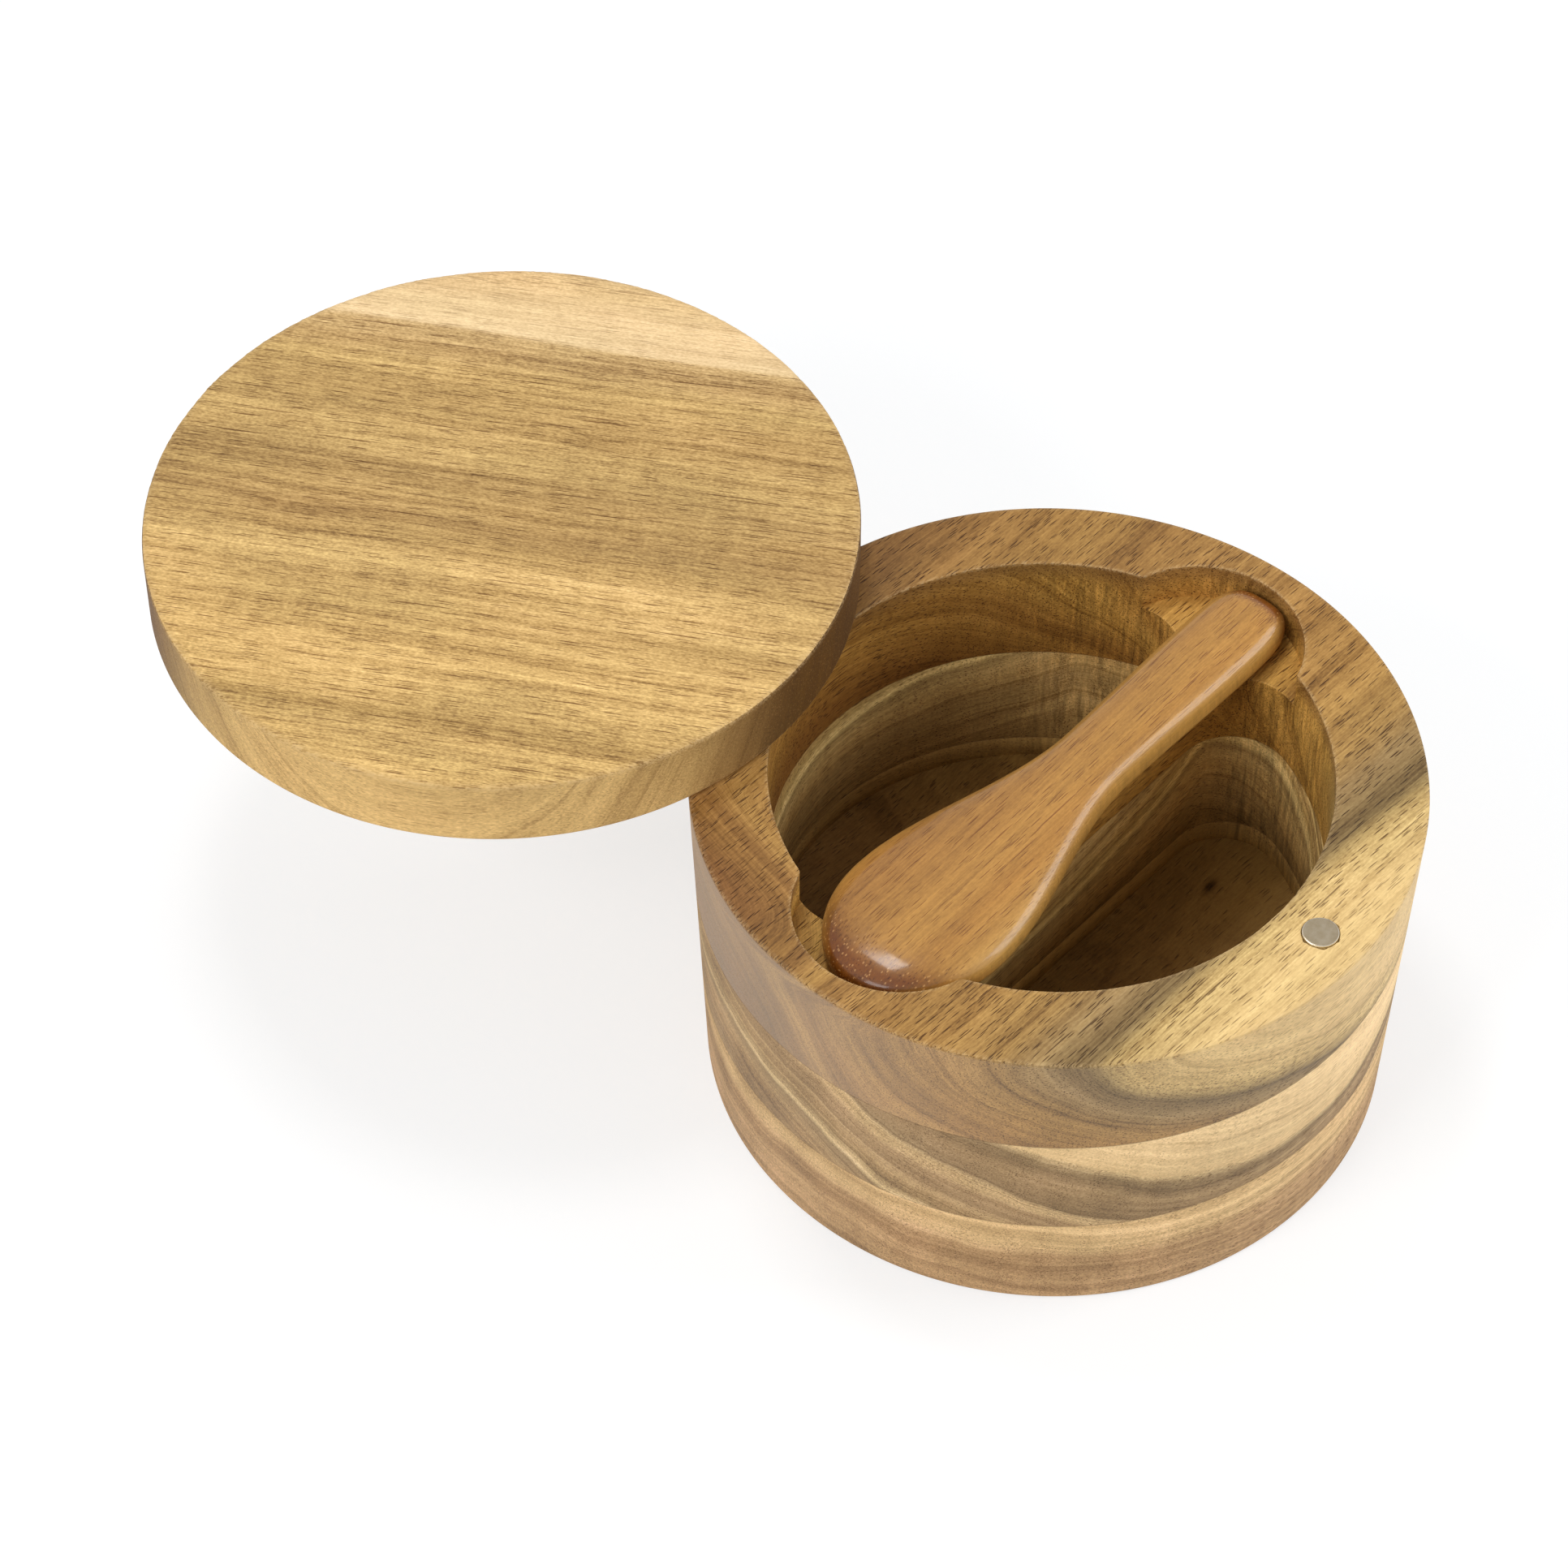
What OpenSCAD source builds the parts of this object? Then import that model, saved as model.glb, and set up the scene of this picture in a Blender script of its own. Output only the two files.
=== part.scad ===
// Round wooden salt box: three glued boards with two wells, a lid that swings
// sideways on an upright pin, a catch magnet in the rim and one in the lid,
// and a wooden spoon lying across the wells.
// The origin is the middle of the underside, the catch is at the front (-Y),
// the pin is at the back (+Y) and the spoon's handle points to +X.

/* [Box] */
// Diameter of the box at its rim
rim_d = 120; // [110:1:150]
// How much narrower the box is at its underside, on each side
taper = 2.5; // [0:0.1:5]
// Thickness of the top board
top_board_h = 22; // [20:0.5:40]
// Thickness of the middle board
middle_board_h = 22; // [16:0.5:40]
// Thickness of the base board, floor included
base_board_h = 21; // [16:0.5:40]
// Width of the bevel round the underside
foot_bevel = 0.8; // [0.2:0.1:2]
// Width of the bevel round the outside of the rim
rim_bevel = 0.4; // [0.2:0.1:1]

/* [Wells] */
// Thickness of the wall from the rim's edge to the round that holds both wells
wall = 14; // [12:0.5:18]
// Distance from the middle of the box to the middle of the wells, towards the pin
wells_shift = 1.4; // [0:0.1:2]
// Turn of the wells and the spoon about the upright axis
wells_turn = -2; // [-6:0.5:6]
// Depth of the wells below the rim
wells_depth = 48.5; // [46:0.5:56]
// Thickness of the wall between the wells
divider_t = 5.5; // [4:0.5:8]
// Radius of the upright corners of a well
well_corner_r = 10; // [6:0.5:12]
// Depth of the divider's top and the spoon ledges below the rim
ledge_depth = 7.4; // [7.2:0.1:12]
// Thickness of the wall from the rim's edge to the spoon's pockets
pocket_wall = 4.6; // [4:0.1:7]
// Rounding of the wood's corners beside the handle's pocket
handle_corner_r = 0.6; // [0.2:0.1:3]
// Rounding of the wood's corners beside the bowl's pocket
bowl_corner_r = 1.8; // [0.2:0.1:4]
// Distance from the divider's middle line to the pockets', towards the catch
pockets_shift = 0.5; // [0:0.1:1]

/* [Lid] */
// Distance that the lid's edge lies inside the rim's
lid_inset = 0.5; // [0:0.1:2]
// Thickness of the lid
lid_h = 12.8; // [11:0.1:20]
// Height of the lid's underside above the rim
lid_gap = 0.5; // [0.4:0.1:1]
// Width of the bevel round the lid's edges
lid_bevel = 0.6; // [0.2:0.1:2]
// Angle that the lid stands open, seen from above and turning clockwise
lid_open = 153; // [0:1:180]

/* [Pin and magnets] */
// Distance from the rim's edge to the middle of the pin, and of the catch magnet
swivel_inset = 7.8; // [6:0.1:8.4]
// Diameter of the pin
pin_d = 5; // [4:0.5:6]
// Depth of the pin in the middle board
pin_foot = 8; // [4:0.5:14]
// Depth of the pin's hole in the lid
pin_hole_h = 8; // [5:0.5:9]
// Room round the pin in the lid
pin_clearance = 0.05; // [0.02:0.01:0.1]
// Room above the pin in the lid, which rests on it
pin_float = 0.05; // [0.02:0.01:0.2]
// Diameter of a magnet
magnet_d = 6; // [5:0.5:8]
// Thickness of a magnet
magnet_h = 3; // [2:0.5:5]
// Height that the rim's magnet stands proud
magnet_proud = 0.3; // [0:0.05:0.3]
// Room round a magnet in its hole
magnet_clearance = 0.1; // [0.05:0.05:0.2]
// Width of the bevel round a magnet's faces
magnet_bevel = 0.2; // [0.1:0.05:0.4]

/* [Spoon] */
// Thickness of the spoon
spoon_h = 7.2; // [6:0.1:7.2]
// Width of the handle where it is widest
handle_w = 14.6; // [11:0.2:18]
// Width of the handle at its waist
waist_w = 13.4; // [8:0.2:14]
// Width of the bowl
bowl_w = 30; // [22:0.2:32]
// Distance from the handle's end to where the handle is widest
handle_l = 12; // [10:0.2:20]
// Distance from the middle of the wells to the waist
waist_x = 9; // [5:0.5:20]
// Distance from the bowl's end to where the bowl is widest
bowl_l = 19.2; // [15:0.2:24]
// Depth of the bowl's hollow, which faces down
hollow_depth = 4.9; // [3:0.1:5]
// Length of the hollow
hollow_l = 31; // [20:0.5:32]
// Width of the wood on each side of the hollow
hollow_side = 3.5; // [2:0.1:6]
// Distance from the spoon's middle line to the divider's, towards the catch
spoon_shift = 2.2; // [0.5:0.1:2.6]
// Turn of the spoon against the divider
spoon_turn = 0.9; // [-1:0.1:1]
// Room past the handle's end in its pocket
handle_room = 0.4; // [0.4:0.1:3]
// Room for a fingertip beside the handle in its pocket
finger_room = 9.7; // [8:0.1:12]
// Room past the bowl's end in its pocket
bowl_room = 2.6; // [0.8:0.1:4]
// Room beside the bowl in its pocket
side_room = 0.5; // [0.5:0.1:2]
// Height of the spoon's underside above the ledges
spoon_gap = 0.1; // [0.05:0.05:0.3]

/* [Hidden] */
$fn = 96;
eps = 0.01;

rim_r = rim_d / 2;
base_r = rim_r - taper;
lid_r = rim_r - lid_inset;
swivel_r = rim_r - swivel_inset;
middle_z = base_board_h;
top_z = middle_z + middle_board_h;
rim_z = top_z + top_board_h;
floor_z = rim_z - wells_depth;
ledge_z = rim_z - ledge_depth;
lid_z = rim_z + lid_gap;
wells_r = rim_r - wall;
handle_pocket_r = handle_w / 2 + finger_room;
bowl_pocket_r = bowl_w / 2 + spoon_shift - pockets_shift + side_room;
handle_reach = rim_r - pocket_wall - handle_room;
bowl_reach = rim_r - pocket_wall - bowl_room;
pin_r = pin_d / 2;
magnet_r = magnet_d / 2;
pin_foot_z = top_z - pin_foot;
pin_top_z = lid_z + pin_hole_h - pin_float;

// Widest places of the spoon, along it from the middle of the wells
handle_x = handle_reach - handle_l;
bowl_x = bowl_l - bowl_reach;
hollow_w = bowl_w - 2 * hollow_side;
// Lengths over which the handle's outline and the thickness round off at each end
handle_nose_l = 14;
handle_edge_l = 6;
bowl_edge_l = 13;
// Powers of the curves that round the section, the outline and the hollow
section_power = 2.8;
handle_power = 3.2;
bowl_power = 2.05;
edge_power = 2.2;
hollow_power = 3;
// Counts of sections along the spoon and of points round each
spoon_sections = 44;
section_points = 28;
// Smallest share of the full section at the two tips
tip_share = 0.05;
// Height of the spoon's widest line above its underside, as a share of its thickness
belly_share = 0.4;

// Radius of the tapered body at a height above the underside
function body_r(z) = base_r + (rim_r - base_r) * z / rim_z;

// A board of the tapered body, from one height to another
module board(z0, z1) {
    translate([0, 0, z0]) cylinder(h = z1 - z0, r1 = body_r(z0), r2 = body_r(z1));
}

// Bevelled disc standing on z = 0
module disc(r, h, low_bevel, high_bevel) {
    cylinder(h = low_bevel, r1 = r - low_bevel, r2 = r);
    translate([0, 0, low_bevel]) cylinder(h = h - low_bevel - high_bevel, r = r);
    translate([0, 0, h - high_bevel]) cylinder(h = high_bevel, r1 = r, r2 = r - high_bevel);
}

// Puts its children on the middle of the wells, turned with them
module on_wells() {
    translate([0, wells_shift, 0]) rotate(wells_turn) children();
}

// Outline of the well on the catch side: a round cut off by the divider, with
// round corners. The corners' centres lie on the same ring as their arcs touch.
module well_outline() {
    corner_y = divider_t / 2 + well_corner_r;
    corner_x = sqrt(pow(wells_r - well_corner_r, 2) - corner_y * corner_y);
    far = 2 * wells_r;
    intersection() {
        circle(r = wells_r);
        polygon([[corner_x, -corner_y], [corner_x, -corner_y] * far / corner_y,
                 [-corner_x, -corner_y] * far / corner_y, [-corner_x, -corner_y]]);
    }
    translate([-corner_x, -corner_y - eps]) square([2 * corner_x, well_corner_r + eps]);
    for (side = [-1, 1]) {
        translate([side * corner_x, -corner_y]) circle(r = well_corner_r);
    }
}

// Both wells, from one height to another
module wells(z0, z1) {
    on_wells() translate([0, 0, z0]) linear_extrude(z1 - z0) {
        well_outline();
        mirror([0, 1]) well_outline();
    }
}

// Outline of a pocket towards +X, with the wood's two corners beside it rounded off.
// The middle of each rounding lies off both the wells' round and the pocket by its radius.
module pocket_outline(r, corner_r) {
    reach = rim_r - pocket_wall - r;
    x = (pow(wells_r + corner_r, 2) - pow(r + corner_r, 2) + reach * reach) / (2 * reach);
    y = sqrt(pow(wells_r + corner_r, 2) - x * x);
    rotate(-asin(pockets_shift / reach)) {
        translate([reach, 0]) circle(r = r);
        difference() {
            polygon([[0, 0], [x, -y], [reach, 0], [x, y]]);
            for (side = [-1, 1]) {
                translate([x, side * y]) circle(r = corner_r);
            }
        }
    }
}

// The wide recess above the divider, with a pocket for each end of the spoon
module spoon_recess() {
    on_wells() translate([0, 0, ledge_z]) linear_extrude(ledge_depth + eps) {
        circle(r = wells_r);
        pocket_outline(handle_pocket_r, handle_corner_r);
        mirror([1, 0]) pocket_outline(bowl_pocket_r, bowl_corner_r);
    }
}

// Hole for the pin, as tight as the pin
module pin_bore(z0, z1) {
    translate([0, swivel_r, z0]) cylinder(h = z1 - z0, r = pin_r);
}

module base_board() {
    color("#b08a5e") difference() {
        union() {
            cylinder(h = foot_bevel, r1 = base_r - foot_bevel, r2 = body_r(foot_bevel));
            board(foot_bevel, middle_z);
        }
        wells(floor_z, middle_z + eps);
    }
}

module middle_board() {
    color("#a57c50") difference() {
        board(middle_z, top_z);
        wells(middle_z - eps, top_z + eps);
        pin_bore(pin_foot_z, top_z + eps);
    }
}

module top_board() {
    color("#bd8f50") difference() {
        union() {
            board(top_z, rim_z - rim_bevel);
            translate([0, 0, rim_z - rim_bevel])
                cylinder(h = rim_bevel, r1 = body_r(rim_z - rim_bevel), r2 = rim_r - rim_bevel);
        }
        wells(top_z - eps, rim_z + eps);
        spoon_recess();
        pin_bore(top_z - eps, rim_z + eps);
        translate([0, -swivel_r, rim_z + magnet_proud - magnet_h])
            cylinder(h = magnet_h, r = magnet_r + magnet_clearance);
    }
}

module magnet() {
    disc(magnet_r, magnet_h, magnet_bevel, magnet_bevel);
}

module catch_magnet() {
    color("#b9b4ab") translate([0, -swivel_r, rim_z + magnet_proud - magnet_h]) magnet();
}

module pivot_pin() {
    color("#c9c9cc") translate([0, swivel_r, pin_foot_z])
        cylinder(h = pin_top_z - pin_foot_z, r = pin_r);
}

// Swings its children open about the pin, from where they lie when the lid is closed
module swung_open() {
    translate([0, swivel_r, 0]) rotate(-lid_open) translate([0, -swivel_r, 0]) children();
}

module lid_board() {
    color("#c79a5b") swung_open() difference() {
        translate([0, 0, lid_z]) disc(lid_r, lid_h, lid_bevel, lid_bevel);
        translate([0, swivel_r, lid_z - eps])
            cylinder(h = pin_hole_h + eps, r = pin_r + pin_clearance);
        translate([0, -swivel_r, lid_z - eps])
            cylinder(h = magnet_h + eps, r = magnet_r + magnet_clearance);
    }
}

module lid_magnet() {
    color("#b9b4ab") swung_open() translate([0, -swivel_r, lid_z]) magnet();
}

// Smooth step from 0 to 1
function ease(t) = let (u = max(0, min(1, t))) u * u * (3 - 2 * u);

// Value from a to b, eased over t from 0 to 1
function blend(a, b, t) = a + (b - a) * ease(t);

// Share left of a width or a thickness, at a distance into an end that rounds off
function rounding(into, length, power) = let (t = max(0, into) / length)
    t >= 1 ? 0 : pow(1 - pow(t, power), 1 / power);

// Width of the spoon at x, with both ends rounded off
function spoon_w(x) =
    (x > waist_x ? blend(waist_w, handle_w, (x - waist_x) / (handle_x - waist_x))
                 : blend(waist_w, bowl_w, (waist_x - x) / (waist_x - bowl_x)))
    * max(tip_share, rounding(x - handle_reach + handle_nose_l, handle_nose_l, handle_power))
    * max(tip_share, rounding(bowl_x - x, bowl_l, bowl_power));

// Share of its full thickness that the spoon has at x
function spoon_t(x) =
    max(tip_share, rounding(x - handle_reach + handle_edge_l, handle_edge_l, edge_power))
    * max(tip_share, rounding(-x - bowl_reach + bowl_edge_l, bowl_edge_l, edge_power));

// Height of the hollow's roof above the underside, at a point of the spoon
function hollow(x, y) = let (
        reach = norm([(x - bowl_x) / (hollow_l / 2), y / (hollow_w / 2)])
    ) hollow_depth * max(0, 1 - pow(reach, hollow_power));

// One closed section of the spoon: a squared ring, with its underside raised in the bowl
function section(x) = [
    for (i = [0 : section_points - 1]) let (
        angle = 360 * i / section_points,
        across = sign(cos(angle)) * pow(abs(cos(angle)), 2 / section_power),
        up = sign(sin(angle)) * pow(abs(sin(angle)), 2 / section_power),
        y = across * spoon_w(x) / 2,
        half = (up > 0 ? 1 - belly_share : belly_share) * spoon_t(x),
        z = spoon_h * (belly_share + up * half)
    ) [x, y, up < 0 ? max(z, hollow(x, y)) : z]
];

// Place of a section: close together at both tips and even between them
function section_x(i) = let (t = i / (spoon_sections - 1))
    (handle_reach - bowl_reach) / 2 - (handle_reach + bowl_reach) / 2 * cos(180 * t);

// The spoon lying on z = 0 along the x axis, bowl towards -X
module spoon_blank() {
    n = section_points;
    last = (spoon_sections - 1) * n;
    points = [for (i = [0 : spoon_sections - 1]) each section(section_x(i))];
    skin = [
        for (i = [0 : spoon_sections - 2], j = [0 : n - 1]) let (
            a = i * n + j,
            b = i * n + (j + 1) % n
        ) each [[a, a + n, b], [b, a + n, b + n]]
    ];
    ends = [
        [for (j = [0 : n - 1]) j],
        [for (j = [n - 1 : -1 : 0]) last + j]
    ];
    polyhedron(points, concat(skin, ends));
}

module spoon() {
    color("#b87f45") on_wells() rotate(spoon_turn)
        translate([0, -spoon_shift, ledge_z + spoon_gap]) spoon_blank();
}

base_board();
middle_board();
top_board();
catch_magnet();
pivot_pin();
lid_board();
lid_magnet();
spoon();
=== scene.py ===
"""The looks of a round acacia salt box with a swinging lid, two wells and a wooden spoon."""

import math

import bmesh
import bpy
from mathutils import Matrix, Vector, noise


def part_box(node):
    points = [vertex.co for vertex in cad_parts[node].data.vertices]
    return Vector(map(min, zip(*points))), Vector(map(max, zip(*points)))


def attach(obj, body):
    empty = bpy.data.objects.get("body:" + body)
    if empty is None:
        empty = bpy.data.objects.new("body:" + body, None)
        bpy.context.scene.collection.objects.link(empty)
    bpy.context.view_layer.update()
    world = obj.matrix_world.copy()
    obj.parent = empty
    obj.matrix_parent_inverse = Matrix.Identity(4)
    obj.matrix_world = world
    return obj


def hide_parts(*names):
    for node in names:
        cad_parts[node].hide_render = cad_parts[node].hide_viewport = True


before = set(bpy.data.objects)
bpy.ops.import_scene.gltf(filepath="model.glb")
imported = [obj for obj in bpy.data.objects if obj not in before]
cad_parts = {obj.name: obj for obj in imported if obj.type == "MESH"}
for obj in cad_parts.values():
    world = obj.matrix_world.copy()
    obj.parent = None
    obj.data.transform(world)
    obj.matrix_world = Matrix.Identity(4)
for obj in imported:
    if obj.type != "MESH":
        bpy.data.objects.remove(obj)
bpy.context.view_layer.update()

# The camera stands where the photographer's stood: in front of the box and to its
# left, looking down at the open wells with the lid swung away behind them.
MM = 0.001
camera_place = Vector((-446.0, -312.6, 686.7))
camera_round = -50.3
camera_down = 48.99
sensor_w = 36.0
lens_length = 117.1


def add_object(name, data):
    """A new object in the scene, at the origin."""
    made = bpy.data.objects.new(name, data)
    bpy.context.scene.collection.objects.link(made)
    return made


lens = bpy.data.cameras.new("studio_camera")
lens.sensor_width = sensor_w
lens.lens = lens_length
camera = add_object("studio_camera", lens)
camera.location = camera_place * MM
camera.rotation_euler = (math.radians(90 - camera_down), 0, math.radians(camera_round))
bpy.context.scene.camera = camera
bpy.context.scene.view_settings.view_transform = "Standard"


# The base board is the lowest of three boards of acacia glued in a stack. The stack is
# turned round on its outside, and the feet of both wells are milled down into this board.
rim_low, rim_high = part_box("top_board")
rim_z = rim_high.z / MM
rim_r = rim_high.x / MM
top_z = rim_low.z / MM
middle_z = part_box("middle_board")[0].z / MM
taper = 2.5
foot_bevel = 0.8
wells_depth = 48.5
floor_z = rim_z - wells_depth
wall = 14.0
wells_r = rim_r - wall
wells_shift = 1.4
wells_turn = math.radians(-2)
divider_t = 5.5
well_corner_r = 10.0
corner_y = divider_t / 2 + well_corner_r
corner_x = math.sqrt((wells_r - well_corner_r) ** 2 - corner_y ** 2)
corner_turn = math.degrees(math.atan2(corner_y, corner_x))
arc_step = 0.55
face_steps = 60


def body_r(z):
    """Radius of the tapered box at a height above the underside."""
    return rim_r - taper * (1 - z / rim_z)


def arc(middle, radius, *turns, step=arc_step):
    """Points of an arc through several angles in degrees, without the last one. Two arcs that
    share a pair of these angles share the points between them."""
    points = []
    for start, end in zip(turns, turns[1:]):
        count = math.ceil(abs(math.radians(end - start)) * radius / step)
        for i in range(count):
            angle = math.radians(start + (end - start) * i / count)
            points.append(Vector((middle[0] + radius * math.cos(angle),
                                  middle[1] + radius * math.sin(angle))))
    return points


def on_wells(points):
    """The points moved from the wells' own frame to the box's."""
    turn = Vector((math.cos(wells_turn), math.sin(wells_turn)))
    return [Vector((p.x * turn.x - p.y * turn.y, p.x * turn.y + p.y * turn.x + wells_shift))
            for p in points]


def well_outline(side, *shared):
    """Outline of the well on the catch side (-1) or the pin side (1), counter-clockwise. Its
    round goes through the shared angles, which are counted from the catch side's well."""
    face = [Vector((corner_x - 2 * corner_x * i / face_steps, -divider_t / 2)) for i in range(face_steps)]
    points = (face
              + arc((-corner_x, -corner_y), well_corner_r, 90, 180 + corner_turn)
              + arc((0, 0), wells_r, 180 + corner_turn, *shared, 360 - corner_turn)
              + arc((corner_x, -corner_y), well_corner_r, -corner_turn, 90))
    return on_wells([p * -side for p in points])


def circle_outline(middle, radius, count):
    """Points of a circle, counter-clockwise."""
    return arc(middle, radius, 0, 360, step=2 * math.pi * radius / (count - 0.5))


def ruffle(point, size, seed):
    """A smooth random number from -1 to 1 that varies over a distance of size."""
    return noise.noise(Vector((point[0] / size, point[1] / size, seed)))


def ring(mesh, outline, z, out=0.0, **marks):
    """A closed row of vertices on an outline, moved outwards, which may vary from point to point."""
    made = []
    for i, point in enumerate(outline):
        run = outline[(i + 1) % len(outline)] - outline[i - 1]
        away = Vector((run.y, -run.x)).normalized()
        place = point + away * (out[i] if isinstance(out, list) else out)
        vertex = mesh.verts.new((place.x, place.y, z[i] if isinstance(z, list) else z))
        for mark, amount in marks.items():
            vertex[mesh.verts.layers.float[mark]] = amount[i] if isinstance(amount, list) else amount
        made.append(vertex)
    return made


def well_ring(mesh, outline, z, out=0.0, **marks):
    """A row of vertices round a well, marked with its depth below the rim."""
    height = z[0] if isinstance(z, list) else z
    return ring(mesh, outline, z, out, deep=(rim_z - height) / wells_depth, **marks)


def skin(mesh, *rings):
    """Faces between each row of vertices and the next."""
    for low, high in zip(rings, rings[1:]):
        for i in range(len(low)):
            mesh.faces.new((low[i - 1], low[i], high[i], high[i - 1]))


def cap(mesh, z):
    """Closes the flat of a mesh at a height, inside the edges that are open there."""
    edges = [e for e in mesh.edges if e.is_boundary and all(abs(v.co.z - z) < 0.001 for v in e.verts)]
    bmesh.ops.triangle_fill(mesh, use_beauty=True, use_dissolve=False, edges=edges, normal=(0, 0, 1))


def new_wood():
    """An empty mesh in millimetres that marks how worn, how close to a glue line and how deep in the
    wells each point is, and how much paler dried finish and painted sheen it takes."""
    mesh = bmesh.new()
    for mark in ("worn", "seam", "deep", "dry"):
        mesh.verts.layers.float.new(mark)
    return mesh


def finished(mesh, name, material, body, node, crease=32):
    """Turns a mesh in millimetres into the shown piece that stands for a CAD node."""
    bmesh.ops.recalc_face_normals(mesh, faces=mesh.faces)
    data = bpy.data.meshes.new(name)
    mesh.to_mesh(data)
    mesh.free()
    data.transform(((MM, 0, 0, 0), (0, MM, 0, 0), (0, 0, MM, 0), (0, 0, 0, 1)))
    data.shade_smooth()
    data.set_sharp_from_angle(angle=math.radians(crease))
    data.materials.append(material)
    piece = add_object(name, data)
    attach(piece, body)
    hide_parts(node)


class Wire:
    """One socket of a node tree. Arithmetic on it adds the Math nodes that work it out."""

    def __init__(self, tree, socket=None):
        self.tree = tree
        self.socket = socket

    def node(self, kind, feeds=None, output=0, stops=None, **settings):
        """Adds a node with its settings, then gives its sockets their values or wires."""
        made = self.tree.nodes.new(kind)
        for name, value in settings.items():
            setattr(made, name, value)
        if stops:
            ramp = made.color_ramp
            ramp.elements[0].position, ramp.elements[1].position = stops[0][0], stops[-1][0]
            for place, _ in stops[1:-1]:
                ramp.elements.new(place)
            for element, (_, colour) in zip(ramp.elements, stops):
                element.color = (*colour, 1)
        for name, value in (feeds or {}).items():
            if isinstance(value, Wire):
                value.feed(made, name)
            else:
                made.inputs[name].default_value = value
        return Wire(self.tree, made.outputs[output])

    def also(self, output):
        """Another output of the same node."""
        return Wire(self.tree, self.socket.node.outputs[output])

    def feed(self, node, name):
        """Links this to a named socket of a node that is already there."""
        self.tree.links.new(self.socket, node.inputs[name])

    def math(self, operation, *values):
        return self.node("ShaderNodeMath", dict(enumerate(values)), operation=operation)

    def vector(self, operation, *values, output=0):
        return self.node("ShaderNodeVectorMath", dict(enumerate(values)), output, operation=operation)

    def __add__(self, other):
        return self.math("ADD", self, other)

    def __radd__(self, other):
        return self.math("ADD", other, self)

    def __sub__(self, other):
        return self.math("SUBTRACT", self, other)

    def __rsub__(self, other):
        return self.math("SUBTRACT", other, self)

    def __mul__(self, other):
        return self.math("MULTIPLY", self, other)

    def __rmul__(self, other):
        return self.math("MULTIPLY", other, self)

    def __truediv__(self, other):
        return self.math("DIVIDE", self, other)

    def __pow__(self, other):
        return self.math("POWER", self, other)

    def least(self, other):
        """This, or the other where this is less."""
        return self.math("MAXIMUM", self, other)

    def most(self, other):
        """This, or the other where this is more."""
        return self.math("MINIMUM", self, other)

    def rise(self, low, high):
        """0 below low, 1 above high and smooth between them."""
        return self.node("ShaderNodeMapRange", {"Value": self, "From Min": low, "From Max": high},
                         interpolation_type="SMOOTHSTEP")

    def stretch(self, x, y, z):
        """A place in which a pattern of size 1 becomes x by y by z."""
        return self.vector("MULTIPLY", self, (1 / x, 1 / y, 1 / z))

    def clouds(self, detail, roughness, output="Fac"):
        """Noise about zero, or three of them for the output Color."""
        made = self.node("ShaderNodeTexNoise", {"Vector": self, "Scale": 1.0, "Detail": detail,
                                                "Roughness": roughness}, output)
        return made.vector("SUBTRACT", made, (0.5, 0.5, 0.5)) if output == "Color" else made - 0.5

    def triple(self, x, y, z):
        """A place or a colour from three numbers."""
        return self.node("ShaderNodeCombineXYZ", {0: x, 1: y, 2: z})

    def parts(self):
        """The three numbers of a place."""
        first = self.node("ShaderNodeSeparateXYZ", {0: self})
        return first, first.also(1), first.also(2)

    def times(self, other):
        """This colour or place multiplied part by part."""
        return self.vector("MULTIPLY", self, other)

    def blend(self, first, second):
        """The first colour where this is 0 and the second where it is 1."""
        return self.node("ShaderNodeMix", {0: self, 6: first, 7: second}, 2, data_type="RGBA")


def new_finish(name):
    """An empty material with its shader, and the place and the facing of each point on a piece."""
    material = bpy.data.materials.new(name)
    material.use_nodes = True
    place = Wire(material.node_tree).node("ShaderNodeTexCoord", output="Object")
    return material, material.node_tree.nodes["Principled BSDF"], place, place.also("Normal")


# Each pattern's size along the grain, across it and upwards, in millimetres. Shades and tints
# multiply the wood's own colour.
drift_size = (85, 24, 24)
broad_l, broad_h = 130, 60
hair_size = (38, 0.8, 8)
smoke_size = (150, 2.2, 110)
fibre_size = (10, 0.32, 0.32)
grit_size = (0.7, 0.3, 0.3)
ripple_size = (2.6, 8, 8)
patch_size = (40, 12, 12)
cut_size = (0.9, 0.9, 8)
knot_length = 1.9
pore_shade = (1, 0.75, 0.6)
speck_colour = (1, 0.62, 0.25)
# Painted light for the wells' upper walls and painted shade for their foot
well_painted_light_tint = (1.48, 1.52, 1.25)
well_painted_shade_tint = (0.24, 0.19, 0.12)
frayed_colour = (0.62, 0.43, 0.22, 1)
glue_colour = (0.12, 0.06, 0.025, 1)
relief_height = 0.16
finish_gloss = 0.12


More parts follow.
